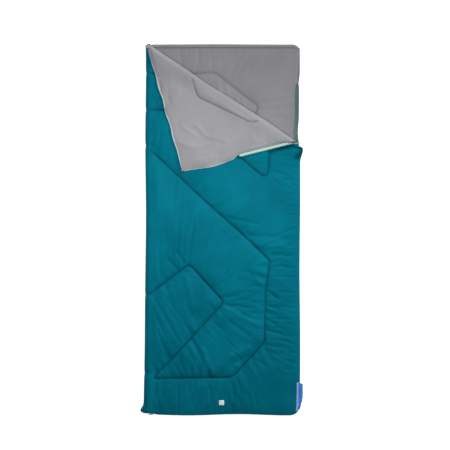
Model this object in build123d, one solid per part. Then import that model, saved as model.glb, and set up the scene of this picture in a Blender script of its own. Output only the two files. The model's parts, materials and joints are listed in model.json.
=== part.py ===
from build123d import *
import math
import os

os.makedirs("parts", exist_ok=True)

# Driving sizes in millimetres. The origin is on the floor under the middle of the bag,
# +Y runs to the head end, +X to the zip side and +Z up.
half_length = 900.0
side_x = 372.0
fold_x = -351.0
foot_corner_r = 45.0
head_corner_r = 25.0
quilt = 20.0
cloth = 0.8
inner_gap = 8.0
flap_gap = 2.0
joint_gap = 1.0

# Heights of each quilt's underside, and of the two fold axes.
base_z = 0.0
cover_z = quilt + inner_gap
flap_z = cover_z + quilt + flap_gap
fold_z = (quilt + cover_z) / 2
crease_z = cover_z + quilt + flap_gap / 2

# The outer edge of the crease, where the cover's head-right corner is turned back, and the turned corner.
crease_left = Vector(-368.0, 900.0)
crease_right = Vector(368.0, 422.0)
turned_corner = Vector(-192.0, 281.0)

# Zip sizes.
tape = 0.8
flap_tape_width = 11.0
coil_in = 1.0
coil_out = 3.3
coil_height = 2.1
diamond_room = 2.4
tape_reach = 11.0
zip_left_x = -345.0
stop_length = 6.0
end_box_length = 9.0
slider_length = 24.0
slider_y = 410.0
slider_wall = 1.6
slider_height = 7.0
diamond_length = 5.5
diamond_height = 1.6
bail_length = 14.0
bail_width = 2.0
bail_reach = 4.2
bail_bar = 1.8
bail_wall = 1.6
pull_length = 34.0
pull_width = 5.6
pull_thickness = 1.4
pull_bar_r = 0.8
pull_setback = 1.3

# Sewn details.
thread_width = 1.2
thread_height = 0.5
binding = 3.0
binding_margin = 1.0
label = 25.0
label_height = 0.6
label_at = Vector(-5.0, -845.0)
patch_length = 28.0
patch_overlap = 7.0
patch_height = 8.0
patch_thickness = 2.0
tab_head = -747.0
tab_foot = -885.0
tab_reach = 14.0
tab_bead_r = 1.0


def save(shape, node):
    export_step(shape, f"parts/{node}.step")


def slab(face, low, high):
    """A flat solid over a face, between two heights."""
    return Pos(0, 0, low) * extrude(face, high - low, dir=(0, 0, 1))


def block(low, high):
    """A box between two opposite corners."""
    size = [b - a for a, b in zip(low, high)]
    middle = [(a + b) / 2 for a, b in zip(low, high)]
    return Pos(*middle) * Box(*size)


def polygon(points):
    return make_face(Polyline(*points, close=True))


def save_quilt(name, face, low):
    """The three layers of one quilt, with the lining on the side that faces the sleeper."""
    lining_up = name != "cover"
    bottom, top = ("shell", "lining") if lining_up else ("lining", "shell")
    save(slab(face, low, low + cloth), f"{name}_{bottom}")
    save(slab(face, low + cloth, low + quilt - cloth), f"{name}_fill")
    save(slab(face, low + quilt - cloth, low + quilt), f"{name}_{top}")


def half_tube(plane, inner, outer, length):
    """Half a tube, bulging along the plane's x direction."""
    section = Circle(outer) - Circle(inner)
    section &= Pos(outer, 0) * Rectangle(2 * outer, 4 * outer)
    return extrude(plane * section, length)


def save_fold(name, plane, inner, length):
    """The three layers of a quilt bent round an axis, lining inside or outside as it lies."""
    outer = inner + quilt
    first, last = ("lining", "shell") if name == "side_fold" else ("shell", "lining")
    save(half_tube(plane, inner, inner + cloth, length), f"{name}_{first}")
    save(half_tube(plane, inner + cloth, outer - cloth, length), f"{name}_fill")
    save(half_tube(plane, outer - cloth, outer, length), f"{name}_{last}")


def edge_band(near, far, top_y):
    """A strip along the zip side and the foot, between two distances from the quilt's edge."""
    r = foot_corner_r
    bend_x = side_x - r
    bend_y = r - half_length
    inner = Line((side_x + near, top_y), (side_x + near, bend_y))
    inner += RadiusArc(inner @ 1, (bend_x, -half_length - near), r + near)
    inner += Line(inner @ 1, (zip_left_x, -half_length - near))
    outer = Line((side_x + far, top_y), (side_x + far, bend_y))
    outer += RadiusArc(outer @ 1, (bend_x, -half_length - far), r + far)
    outer += Line(outer @ 1, (zip_left_x, -half_length - far))
    ends = Line(inner @ 0, outer @ 0) + Line(inner @ 1, outer @ 1)
    return make_face(Curve() + inner.edges() + outer.edges() + ends.edges())


def seams(routes, face_z):
    """Lines of stitching standing just proud of a cloth face."""
    solids = []
    for route, radius in routes:
        path = FilletPolyline(*route, radius=radius) if len(route) > 2 else Line(*route)
        solids.append(slab(trace(path, thread_width), face_z, face_z + thread_height))
    return Compound(children=solids)


# Directions along the crease, from the left edge to the zip side, and outwards from it.
along = (crease_right - crease_left).normalized()
outwards = Vector(-along.Y, along.X)


def crease_point(x, inside):
    """The point at x on the line parallel to the crease's outer edge, some way inside it."""
    start = crease_left - outwards * inside
    return start + along * ((x - start.X) / along.X)


crease_r = quilt + flap_gap / 2
roll_setback = 8.0
cut_line = crease_r + joint_gap

# Bottom quilt.
base_face = Rectangle(side_x - fold_x, 2 * half_length)
base_face = Pos((side_x + fold_x) / 2, 0) * base_face
base_face = fillet(base_face.vertices().sort_by(lambda v: v.X - v.Y)[-1], foot_corner_r)
base_face = fillet(base_face.vertices().sort_by(lambda v: v.X + v.Y)[-1], head_corner_r)
save_quilt("base", base_face, base_z)

# Side fold, from the bottom quilt up into the cover.
side_plane = Plane(origin=(fold_x, -half_length, fold_z), x_dir=(-1, 0, 0), z_dir=(0, 1, 0))
save_fold("side_fold", side_plane, inner_gap / 2, 2 * half_length)

# Cover, which ends at the crease.
cover_left_x = fold_x + joint_gap
left_end = crease_point(cover_left_x, cut_line)
right_end = crease_point(side_x, cut_line)
cover_foot = [(cover_left_x, -half_length), (side_x, -half_length)]
cover_face = polygon(cover_foot + [(right_end.X, right_end.Y), (left_end.X, left_end.Y)])
cover_face = fillet(cover_face.vertices().sort_by(lambda v: v.X - v.Y)[-1], foot_corner_r)
save_quilt("cover", cover_face, cover_z)

# Crease roll, where the cover's cloth turns back over itself with the lining outside.
roll_start = crease_point(fold_x + 2 * joint_gap, crease_r)
roll_end = crease_point(crease_right.X - roll_setback, crease_r)
roll_plane = Plane(
    origin=(roll_start.X, roll_start.Y, crease_z),
    x_dir=(outwards.X, outwards.Y, 0),
    z_dir=(along.X, along.Y, 0),
)
save_fold("crease_roll", roll_plane, flap_gap / 2, (roll_end - roll_start).length)

# Corner flap: its hem edge runs from the left edge to the turned corner, its zip edge from there to the side.
hem_dir = (turned_corner - crease_left).normalized()
zip_dir = (crease_right - turned_corner).normalized()
zip_in = Vector(-zip_dir.Y, zip_dir.X)


def meet(point, direction, inside):
    """Where a line crosses the parallel to the crease that lies some way inside its outer edge."""
    start = crease_left - outwards * inside
    step = (start - point).dot(outwards) / direction.dot(outwards)
    return point + direction * step


flap_edge = turned_corner + zip_in * flap_tape_width
hem_turn = hem_dir * (flap_tape_width / abs(hem_dir.dot(zip_in)))
flap_tip = turned_corner - hem_turn
flap_hem_end = meet(crease_left, hem_dir, cut_line)
flap_zip_end = meet(flap_edge, zip_dir, cut_line)
flap_face = polygon([tuple(p)[:2] for p in (flap_hem_end, flap_tip, flap_zip_end)])
save_quilt("flap", flap_face, flap_z)


def flap_strip(near, far, low, high):
    """A strip along the flap's zip edge, measured outwards from the flap's cut edge."""
    points = []
    for offset, start, end in ((near, flap_tip, flap_zip_end), (far, flap_tip, flap_zip_end)):
        shift = zip_in * -offset
        points.append((start + shift, meet(start + shift, zip_dir, cut_line)))
    corners = (points[0][0], points[0][1], points[1][1], points[1][0])
    return slab(polygon([tuple(p)[:2] for p in corners]), low, high)


# Zip halves. The coils stand apart by the room that the slider's diamond needs.
coil_low_top = fold_z - diamond_room / 2
coil_up_low = fold_z + diamond_room / 2
cover_zip_y = right_end.Y - joint_gap
lower_zip_y = half_length - head_corner_r
lower_tape = slab(edge_band(0, tape, lower_zip_y), coil_low_top - tape_reach, coil_low_top)
lower_coil = slab(edge_band(coil_in, coil_out, lower_zip_y), coil_low_top - coil_height, coil_low_top)
upper_tape = slab(edge_band(0, tape, cover_zip_y), coil_up_low, coil_up_low + tape_reach)
upper_coil = slab(edge_band(coil_in, coil_out, cover_zip_y), coil_up_low, coil_up_low + coil_height)
save(lower_tape, "lower_zip_tape")
save(lower_coil, "lower_zip_coil")
save(upper_tape, "upper_zip_tape")
save(upper_coil, "upper_zip_coil")
flap_middle = flap_z + quilt / 2
save(flap_strip(0, flap_tape_width, flap_middle - tape / 2, flap_middle + tape / 2), "flap_zip_tape")
save(
    flap_strip(
        flap_tape_width - coil_out,
        flap_tape_width - coil_in,
        flap_middle + tape / 2,
        flap_middle + tape / 2 + coil_height,
    ),
    "flap_zip_coil",
)

# Top stops clamped over the ends of the coils, and the box at the zip's blind end.
coil_low_under = coil_low_top - coil_height
stop_wall = 0.8
save(
    block(
        (side_x, lower_zip_y, coil_low_under - stop_wall),
        (side_x + coil_out + stop_wall, lower_zip_y + stop_length, coil_low_top + stop_wall),
    ),
    "lower_top_stop",
)
corner_stop_width = 5.0
corner_stop_height = 4.0
corner_stop_inside = 2.0
stop_gap = 1.0
corner_stop = Box(stop_length, corner_stop_width, corner_stop_height)
corner_turn = math.degrees(math.atan2(zip_dir.Y, zip_dir.X))
stop_centre = turned_corner + zip_in * corner_stop_inside - zip_dir * (stop_length / 2 + stop_gap)
save(Pos(stop_centre.X, stop_centre.Y, flap_middle) * Rot(0, 0, corner_turn) * corner_stop, "flap_top_stop")
end_box_wall = 2.0
end_box_out = coil_out + 0.3
save(
    block(
        (zip_left_x - end_box_length, -half_length - end_box_out, coil_low_under - end_box_wall),
        (zip_left_x, -half_length, coil_low_top),
    ),
    "zip_end_box",
)

# Slider: two plates either side of the coils, joined by the diamond between them.
coil_play = 0.6
tape_play = 0.7
plate_corner_r = 2.2
diamond_setback = 2.5
plate_low = fold_z - slider_height / 2
plate_high = fold_z + slider_height / 2
slider_back = slider_y - slider_length / 2
slider_front = slider_y + slider_length / 2
outer_x = side_x + coil_out + coil_play
inner_x = side_x - tape_play
outer_plate = block((outer_x, slider_back, plate_low), (outer_x + slider_wall, slider_front, plate_high))
inner_plate = block((inner_x - slider_wall, slider_back, plate_low), (inner_x, slider_front, plate_high))
outer_plate = fillet(outer_plate.edges().filter_by(Axis.X), plate_corner_r)
inner_plate = fillet(inner_plate.edges().filter_by(Axis.X), plate_corner_r)
diamond_front = slider_front - diamond_setback
diamond = block(
    (inner_x - slider_wall / 2, diamond_front - diamond_length, fold_z - diamond_height / 2),
    (outer_x + slider_wall / 2, diamond_front, fold_z + diamond_height / 2),
)
save(outer_plate + inner_plate + diamond, "slider_body")

# Bail on the slider's outer plate, and the pull tab that turns on it.
bail_x = outer_x + slider_wall
bail_back = slider_y - 5.0
bail_front = bail_back + bail_length
bail = block(
    (bail_x, bail_back, fold_z - bail_width / 2),
    (bail_x + bail_reach, bail_front, fold_z + bail_width / 2),
)
bail -= block(
    (bail_x, bail_back + bail_bar, fold_z - bail_width),
    (bail_x + bail_reach - bail_wall, bail_front - bail_bar, fold_z + bail_width),
)
save(bail, "slider_bail")
pull_x = bail_x + pull_setback
pull_corner_r = 1.8
window_half = 1.5
window_head = 1.0
window_foot = 7.2
pull = Pos(pull_x, slider_y - pull_length / 2, fold_z) * Box(pull_thickness, pull_length, pull_width)
pull = fillet(pull.edges().filter_by(Axis.X), pull_corner_r)
pull -= block(
    (pull_x - pull_thickness, slider_y - window_foot, fold_z - window_half),
    (pull_x + pull_thickness, slider_y + window_head, fold_z + window_half),
)
bar_setback = 0.6
bar = Cylinder(pull_bar_r, pull_width - 2 * bar_setback)
pull += Pos(pull_x, slider_y - pull_bar_r, fold_z) * bar
save(pull, "pull_tab")

# Hem bindings at the head.
save(
    block(
        (fold_x + 2 * binding, half_length, base_z + binding_margin),
        (side_x - head_corner_r, half_length + binding, base_z + quilt - binding_margin),
    ),
    "base_hem_binding",
)
hem_out = Vector(hem_dir.Y, -hem_dir.X)
hem_points = (flap_hem_end, flap_tip, flap_tip + hem_out * binding, flap_hem_end + hem_out * binding)
hem_face = polygon([tuple(p)[:2] for p in hem_points])
save(slab(hem_face, flap_z + binding_margin, flap_z + quilt - binding_margin), "flap_hem_binding")

# Quilting stitches: the lines of the pattern that runs over each quilt, each with its corners' radius.
cover_run = [(cover_left_x, 388), (-225, 267), (-92, 140), (67, 0), (231, -156), (209, -303), (204, -550)]
cover_loop = [(46, -722), (-335, -728), (6, -357), (-163, -172), (cover_left_x, -314)]
cover_seams = [
    (cover_run + cover_loop, 16),
    ([(88, 345), (178, 268), (202, 256), (220, 278), (224, 359)], 8),
    ([(cover_left_x, 578), (-240, 578)], 0),
    ([(cover_left_x, 756), (-300, 756)], 0),
]
save(seams(cover_seams, cover_z + quilt), "cover_stitching")
base_seams = [([(-166, 757), (-40, 763), (177, 595), (120, 500)], 20)]
save(seams(base_seams, base_z + quilt), "base_stitching")
flap_seams = [([(-147, 728), (-122, 644), (134, 517), (204, 524)], 18)]
save(seams(flap_seams, flap_z + quilt), "flap_stitching")

# Blank label at the foot.
cover_top = cover_z + quilt
save(
    block(
        (label_at.X - label / 2, label_at.Y - label / 2, cover_top),
        (label_at.X + label / 2, label_at.Y + label / 2, cover_top + label_height),
    ),
    "foot_label",
)

# Patch of shell cloth sewn over the zip's blind end.
patch_y = -half_length - end_box_out
patch_right_x = zip_left_x + patch_overlap
save(
    block(
        (patch_right_x - patch_length, patch_y - patch_thickness, coil_low_top - patch_height),
        (patch_right_x, patch_y, coil_low_top),
    ),
    "zip_end_patch",
)

# Blue tab near the foot: a strip sewn onto the cover's edge, and the loose part that turns on its bead.
tab_z = cover_z + quilt / 2
tab_gap = 0.3
tab_x = side_x + tape + tab_gap + tab_bead_r
tab_slant = 4.0
tab_taper_y = -800.0
tab_end_width = 1.0
tab_corners = [
    (tab_x, tab_head),
    (tab_x + tab_reach, tab_head - tab_slant),
    (tab_x + tab_reach, tab_taper_y),
    (tab_x + tab_end_width, tab_foot),
    (tab_x, tab_foot),
]
bead = Cylinder(tab_bead_r, tab_head - tab_foot)
bead = Pos(tab_x, (tab_head + tab_foot) / 2, tab_z) * Rot(90, 0, 0) * bead
save(slab(polygon(tab_corners), tab_z - tab_bead_r, tab_z + tab_bead_r) + bead, "stow_tab")
strip_width = 11.0
strip_foot = -860.0
strip_right_x = side_x - 3.0
save(
    block((strip_right_x - strip_width, strip_foot, cover_top), (strip_right_x, tab_head, cover_top + cloth)),
    "stow_tab_strip",
)
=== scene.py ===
import json
import math

import bmesh
import bpy
import numpy as np
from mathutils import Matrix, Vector


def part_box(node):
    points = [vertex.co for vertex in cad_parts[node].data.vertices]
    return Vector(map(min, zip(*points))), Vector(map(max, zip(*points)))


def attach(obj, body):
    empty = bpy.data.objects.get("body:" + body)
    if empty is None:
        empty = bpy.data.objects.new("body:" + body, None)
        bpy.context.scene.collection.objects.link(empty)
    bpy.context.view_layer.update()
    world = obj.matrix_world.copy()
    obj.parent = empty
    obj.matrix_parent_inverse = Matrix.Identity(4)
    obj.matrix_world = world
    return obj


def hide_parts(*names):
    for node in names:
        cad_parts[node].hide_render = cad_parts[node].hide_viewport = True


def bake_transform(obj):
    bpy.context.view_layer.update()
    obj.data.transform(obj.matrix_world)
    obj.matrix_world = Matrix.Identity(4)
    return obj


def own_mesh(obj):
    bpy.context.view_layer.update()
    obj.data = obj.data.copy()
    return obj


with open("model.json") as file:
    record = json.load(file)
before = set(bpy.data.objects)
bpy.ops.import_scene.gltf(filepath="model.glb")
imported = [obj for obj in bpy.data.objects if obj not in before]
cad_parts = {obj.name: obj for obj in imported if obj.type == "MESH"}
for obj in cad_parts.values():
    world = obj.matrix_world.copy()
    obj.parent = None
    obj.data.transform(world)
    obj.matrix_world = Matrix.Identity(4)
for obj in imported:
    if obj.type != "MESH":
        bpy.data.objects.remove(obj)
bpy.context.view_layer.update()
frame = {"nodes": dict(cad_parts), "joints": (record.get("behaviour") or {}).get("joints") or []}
scene = bpy.context.scene
MM = 0.001
UP = np.array([0, 0, 1])


# ---- Sizes read from the frame ----
def corner(node, which):
    return np.array(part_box(node)[which])


FOLD_X = corner("base_shell", 0)[0]
SIDE_X = corner("base_shell", 1)[0]
END_Y = corner("base_shell", 1)[1]
BASE_TOP = corner("base_lining", 1)[2]
COVER_LOW = corner("cover_lining", 0)[2]
COVER_TOP = corner("cover_shell", 1)[2]
FLAP_LOW = corner("flap_shell", 0)[2]
# The side fold's outer radius, which is also the height of its axis, and its inner radius.
FOLD_R = corner("side_fold_shell", 1)[2] / 2
FOLD_IN = FOLD_R - BASE_TOP
FOOT_R = 0.045
HEAD_R = 0.025
joints = {j["name"]: j for j in frame["joints"]}
CREASE_AT = np.array(joints["flap_fold"]["pos_m"])
ALONG = np.array(joints["flap_slack"]["axis"])[:2]
OUT = np.array([-ALONG[1], ALONG[0]])
CREASE_Z = CREASE_AT[2]
ROLL_R = CREASE_Z - COVER_LOW
ROLL_IN = CREASE_Z - COVER_TOP


def crease_y(x):
    """The crease axis's y at x."""
    return CREASE_AT[1] + (x - CREASE_AT[0]) * ALONG[1] / ALONG[0]


def crease_xy(x, outside):
    """The point at x on the line parallel to the crease axis, some way outside it."""
    start = CREASE_AT[:2] + OUT * outside
    return start + ALONG * (x - start[0]) / ALONG[0]


CREASE_LEFT = crease_xy(-0.368, ROLL_R)
CREASE_RIGHT = crease_xy(0.368, ROLL_R)
TURNED = np.array([-0.192, 0.281])
REST_CORNER = np.array([SIDE_X, END_Y])
TO_LEFT = CREASE_LEFT - TURNED
TO_RIGHT = CREASE_RIGHT - TURNED
FLAP_AXES = np.array([TO_LEFT, TO_RIGHT]).T
FLAP_REACH = float(TO_LEFT @ OUT)


# ---- Small helpers ----
def smooth(t):
    t = np.clip(t, 0.0, 1.0)
    return t * t * (3 - 2 * t)


def bell(d, width):
    """1 at a distance of 0, and close to 0 from twice the width outwards."""
    return np.exp(-((d / width) ** 2))


def lip(d, r):
    """A quarter round: 0 at the edge, 1 from r inwards."""
    t = np.clip(d / r, 0.0, 1.0)
    return np.sqrt(np.maximum(0.0, 1 - (1 - t) ** 2))


def waves(x, y, length, count, seed):
    """Soft seeded undulation with a spread of about 1, of roughly one wavelength."""
    rng = np.random.default_rng(seed)
    total = np.zeros_like(x)
    for _ in range(count):
        turn = rng.uniform(0, 2 * math.pi)
        k = 2 * math.pi / (length * rng.uniform(0.7, 1.4))
        shift = rng.uniform(0, 2 * math.pi)
        total += np.cos(k * (x * math.cos(turn) + y * math.sin(turn)) + shift)
    return total / math.sqrt(count / 2)


def zip_distance(x, y):
    """How far a point lies inside the bag's zipped edges."""
    return np.minimum(SIDE_X - x, y + END_Y)


def lengths_along(path):
    """How far along a path each of its points lies."""
    return np.concatenate([[0], np.cumsum(np.linalg.norm(np.diff(path, axis=0), axis=1))])


def heading(path):
    """A path's direction at each of its points."""
    ahead = np.gradient(path, axis=0)
    return ahead / np.linalg.norm(ahead, axis=1)[:, None]
def rounded(points, r, steps=6):
    """A route with its corners rounded off."""
    points = [np.array(p, float) for p in points]
    out = [points[0]]
    for a, b, c in zip(points, points[1:], points[2:]):
        first = b + (a - b) * min(r / np.linalg.norm(a - b), 0.5)
        last = b + (c - b) * min(r / np.linalg.norm(c - b), 0.5)
        for t in np.linspace(0, 1, steps + 1):
            out.append((1 - t) ** 2 * first + 2 * t * (1 - t) * b + t * t * last)
    out.append(points[-1])
    return np.array(out)


def beside(x, y, route):
    """Each point's distance from a route, its nearest spot's place along it, and the side it lies on."""
    best = np.full(x.shape, 9.0)
    along = np.zeros_like(x)
    side = np.ones_like(x)
    done = 0.0
    for a, b in zip(route, route[1:]):
        d = b - a
        size = max(float(np.hypot(*d)), 1e-9)
        t = np.clip(((x - a[0]) * d[0] + (y - a[1]) * d[1]) / size**2, 0, 1)
        off = np.hypot(x - a[0] - t * d[0], y - a[1] - t * d[1])
        nearer = off < best
        best = np.where(nearer, off, best)
        along = np.where(nearer, done + t * size, along)
        side = np.where(nearer, np.where(d[0] * (y - a[1]) > d[1] * (x - a[0]), 1.0, -1.0), side)
        done += size
    return best, along, side


def add_mesh(name, points, faces, material):
    mesh = bpy.data.meshes.new(name)
    mesh.from_pydata(np.asarray(points).tolist(), [], [list(map(int, f)) for f in faces])
    mesh.update()
    mesh.polygons.foreach_set("use_smooth", [True] * len(mesh.polygons))
    mesh.materials.append(material)
    piece = bpy.data.objects.new(name, mesh)
    scene.collection.objects.link(piece)
    return piece


def grid_faces(rows, columns, flip=False):
    i = np.arange(rows * columns).reshape(rows, columns)
    quads = np.stack([i[:-1, :-1], i[1:, :-1], i[1:, 1:], i[:-1, 1:]], -1).reshape(-1, 4)
    return quads[:, ::-1] if flip else quads


def add_grid(name, points, material, flip=False):
    return add_mesh(name, points.reshape(-1, 3), grid_faces(*points.shape[:2], flip), material)


def tidy_faces(piece, closed):
    """Drops zero-size faces, where a grid comes to a point, and turns a closed pad's faces outwards."""
    made = bmesh.new()
    made.from_mesh(piece.data)
    bmesh.ops.remove_doubles(made, verts=made.verts, dist=2e-5)
    if closed:
        bmesh.ops.dissolve_degenerate(made, dist=1e-6, edges=made.edges)
        bmesh.ops.recalc_face_normals(made, faces=made.faces)
    made.to_mesh(piece.data)
    made.free()


def add_slab(name, low, high, material):
    """A closed pad between two grids of the same shape."""
    rows, columns = low.shape[:2]
    count = rows * columns
    i = np.arange(count).reshape(rows, columns)
    rim = np.concatenate([i[:, 0], i[-1, 1:], i[-2::-1, -1], i[0, -2:0:-1]])
    after = np.roll(rim, -1)
    sides = np.stack([rim, after, after + count, rim + count], -1)
    faces = grid_faces(rows, columns)
    faces = np.concatenate([faces[:, ::-1], faces + count, sides[:, ::-1]])
    piece = add_mesh(name, np.concatenate([low.reshape(-1, 3), high.reshape(-1, 3)]), faces, material)
    tidy_faces(piece, True)
    return piece


def set_painted_shade(piece, values):
    """Sets the painted shade at each point: how far the cloth's colour is darkened to stand in for the shadow
    in creases and hollows.
    """
    painted_shade = piece.data.attributes.new("painted_shade", "FLOAT", "POINT")
    painted_shade.data.foreach_set("value", np.ravel(values).astype(float))


def sewn(piece, node=None, body=None):
    if node:
        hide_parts(node)
    if body:
        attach(piece, body)
    return piece


# ---- Materials ----
def set_inputs(tree, node, inputs):
    """Gives each input its value, or links it to another node's output."""
    for name, value in inputs.items():
        if isinstance(value, bpy.types.NodeSocket):
            tree.links.new(value, node.inputs[name])
        else:
            node.inputs[name].default_value = value


def add_node(tree, kind, inputs, **settings):
    node = tree.nodes.new("ShaderNode" + kind)
    for name, value in settings.items():
        setattr(node, name, value)
    set_inputs(tree, node, inputs)
    return node


def add_noise(tree, scale, detail, distortion=0.0):
    """Noise in the object's own space."""
    place = add_node(tree, "TexCoord", {}).outputs["Object"]
    inputs = {"Vector": place, "Scale": scale, "Detail": detail, "Distortion": distortion}
    return add_node(tree, "TexNoise", inputs).outputs["Fac"]


def add_ramp(tree, factor, *stops):
    """A ramp between two colours, each with its position."""
    ramp = add_node(tree, "ValToRGB", {"Fac": factor})
    for element, (position, colour) in zip(ramp.color_ramp.elements, stops):
        element.position = position
        element.color = (*colour, 1)
    return ramp.outputs["Color"]


def add_bump(tree, height, strength, distance, **under):
    inputs = {"Height": height, "Strength": strength, "Distance": distance, **under}
    return add_node(tree, "Bump", inputs).outputs["Normal"]


def new_material(name):
    material = bpy.data.materials.new(name)
    material.use_nodes = True
    tree = material.node_tree
    return material, tree, tree.nodes["Principled BSDF"]


def cloth_material(name, dark, light, weave, roughness, sheen, tint, bump, crease_bump, gloss=0.15):
    """Woven cloth: mottled colour, a fine plain weave, small creases and painted shade read from a mesh
    attribute.
    """
    material, tree, shader = new_material(name)
    place = add_node(tree, "TexCoord", {}).outputs["Object"]
    threads = {}
    for index, way in enumerate(("X", "Y")):
        inputs = {"Vector": place, "Scale": weave, "Distortion": 0.6, "Detail": 1.0}
        threads[index] = add_node(tree, "TexWave", inputs, bands_direction=way).outputs["Fac"]
    woven = add_node(tree, "Math", threads, operation="MULTIPLY").outputs[0]
    mottled = add_ramp(tree, add_noise(tree, 6.0, 5.0), (0.3, dark), (0.7, light))
    inputs = {"Factor": 0.22, "A": mottled, "B": woven}
    shade = add_node(tree, "Mix", inputs, data_type="RGBA", blend_type="MULTIPLY").outputs["Result"]
    # Painted shade: the colour is mixed towards 0.3 of the dark colour as far as the mesh's attribute asks,
    # standing in for the shadow in creases and hollows.
    painted_shade = add_node(tree, "Attribute", {}, attribute_name="painted_shade").outputs["Fac"]
    inputs = {"Factor": painted_shade, "A": shade, "B": (*(0.3 * channel for channel in dark), 1)}
    colour = add_node(tree, "Mix", inputs, data_type="RGBA").outputs["Result"]
    creases = add_bump(tree, add_noise(tree, 38.0, 4.0, 0.8), crease_bump, 0.002)
    inputs = {
        "Base Color": colour,
        "Roughness": roughness,
        "Specular IOR Level": gloss,
        "Normal": add_bump(tree, woven, bump, 0.0003, Normal=creases),
        "Sheen Weight": sheen,
        "Sheen Roughness": 0.45,
        "Sheen Tint": (*tint, 1),
    }
    set_inputs(tree, shader, inputs)
    return material


def plain_material(name, colour, roughness, grain, metallic=0.0, coat=0.0):
    """Moulded or painted surface with faint wear in its colour and gloss."""
    material, tree, shader = new_material(name)
    wear = add_noise(tree, grain, 4.0)
    dull, bright = (tuple(channel * share for channel in colour) for share in (0.82, 1.12))
    gloss = add_node(tree, "MapRange", {"Value": wear, "To Min": roughness * 0.8, "To Max": roughness * 1.25})
    inputs = {
        "Base Color": add_ramp(tree, wear, (0.0, dull), (1.0, bright)),
        "Roughness": gloss.outputs["Result"],
        "Normal": add_bump(tree, wear, 0.15, 0.0002),
        "Metallic": metallic,
        "Coat Weight": coat,
    }
    set_inputs(tree, shader, inputs)
    return material


SHELL = cloth_material(
    "teal_taffeta", (0.0002, 0.138, 0.200), (0.0004, 0.177, 0.249), 520, 0.6, 0.05, (0.0, 0.8, 1.0), 0.35,
    0.12, gloss=0.02,
)
LINING = cloth_material(
    "grey_lining", (0.232, 0.233, 0.250), (0.266, 0.267, 0.286), 420, 0.75, 0.1, (0.9, 0.9, 1.0), 0.3, 0.12
)
# A lighter copy of the grey lining for the turned flap and the crease roll: painted light, the same cloth
# painted brighter.
TURNED_LINING = cloth_material(
    "grey_lining_painted_lighter", (0.290, 0.290, 0.308), (0.330, 0.329, 0.350), 420, 0.75, 0.2, (0.9, 0.9, 1.0), 0.3,
    0.12,
)
MINT_CLOTH = cloth_material(
    "mint_zip_tape", (0.53, 0.75, 0.67), (0.61, 0.84, 0.77), 600, 0.7, 0.2, (0.9, 1.0, 0.95), 0.5, 0.05
)
PIPING_CLOTH = cloth_material(
    "pale_mint_piping", (0.42, 0.55, 0.57), (0.50, 0.64, 0.66), 600, 0.7, 0.2, (0.9, 1.0, 1.0), 0.5, 0.05
)
GREEN_CLOTH = cloth_material(
    "dark_green_zip_tape", (0.045, 0.085, 0.085), (0.07, 0.12, 0.118), 600, 0.7, 0.1, (0.7, 1.0, 0.9), 0.5,
    0.05,
)
SAGE_CLOTH = cloth_material(
    "sage_zip_tape", (0.075, 0.150, 0.138), (0.110, 0.200, 0.185), 600, 0.7, 0.1, (0.7, 1.0, 0.9), 0.5, 0.05
)
BLUE_CLOTH = cloth_material(
    "blue_tab_cloth", (0.04, 0.21, 0.68), (0.06, 0.27, 0.78), 500, 0.6, 0.2, (0.6, 0.75, 1.0), 0.5, 0.1
)
# A paler copy of the tab's blue cloth for the sewn strip: painted highlight along the tab's front edge.
PALE_BLUE_CLOTH = cloth_material(
    "blue_tab_cloth_painted_highlight", (0.27, 0.42, 0.92), (0.36, 0.52, 0.98), 500, 0.6, 0.2, (0.8, 0.85, 1.0), 0.5, 0.1
)
LABEL_CLOTH = cloth_material(
    "white_label_cloth", (0.93, 0.93, 0.93), (0.98, 0.98, 0.98), 900, 0.75, 0.1, (1, 1, 1), 0.4, 0.02
)
WADDING = cloth_material(
    "white_wadding", (0.74, 0.74, 0.74), (0.86, 0.86, 0.86), 90, 0.95, 0.3, (1, 1, 1), 0.8, 0.6
)
# Quilting threads: dark thread, made darker still as painted shade for the groove each stitch row sinks into.
THREAD = plain_material("teal_thread_with_groove_shade", (0.0006, 0.018, 0.03), 0.6, 400.0)
GREY_THREAD = plain_material("grey_thread_with_groove_shade", (0.06, 0.06, 0.065), 0.6, 400.0)
MINT_COIL = plain_material("mint_nylon_coil", (0.60, 0.86, 0.77), 0.35, 300.0)
GREEN_COIL = plain_material("dark_green_nylon_coil", (0.045, 0.09, 0.085), 0.35, 300.0)
MINT_METAL = plain_material("mint_painted_slider", (0.42, 0.70, 0.60), 0.3, 200.0, coat=0.4)
GREY_METAL = plain_material("zinc_zip_stop", (0.16, 0.17, 0.17), 0.5, 300.0, metallic=0.6)
FLOOR = plain_material("pale_floor", (0.80, 0.80, 0.80), 0.9, 3.0)
floor_glow = {"Specular IOR Level": 0.0, "Emission Color": (1, 1, 1, 1), "Emission Strength": 0.97}
set_inputs(FLOOR.node_tree, FLOOR.node_tree.nodes["Principled BSDF"], floor_glow)


# ---- Quilting pattern ----
def unfold(points):
    """Points on the turned-back flap, moved to where they lie on the flat cover."""
    out = []
    for point in points:
        p, q = np.linalg.solve(FLAP_AXES, np.array(point) - TURNED)
        out.append(REST_CORNER + p * (CREASE_LEFT - REST_CORNER) + q * (CREASE_RIGHT - REST_CORNER))
    return out
COVER_SEAMS = [
    rounded([(-0.375, 0.408), (-0.314, 0.350), (-0.225, 0.267), (-0.092, 0.140), (0.067, 0.0), (0.131, -0.060),
             (0.231, -0.156), (0.209, -0.303), (0.204, -0.550), (0.046, -0.722), (-0.335, -0.728),
             (0.006, -0.357), (-0.163, -0.172), (-0.345, -0.310), (-0.375, -0.330)], 0.022),
    rounded([(0.060, 0.372), (0.178, 0.268), (0.202, 0.254), (0.222, 0.276), (0.226, 0.375)], 0.016),
    rounded([(-0.375, 0.578), (-0.24, 0.578)], 0.02),
    rounded([(-0.375, 0.756), (-0.30, 0.756)], 0.02),
]
FLAP_SEAM = rounded([(-0.150, 0.750), (-0.122, 0.640), (0.134, 0.517), (0.216, 0.527)], 0.02)
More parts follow.
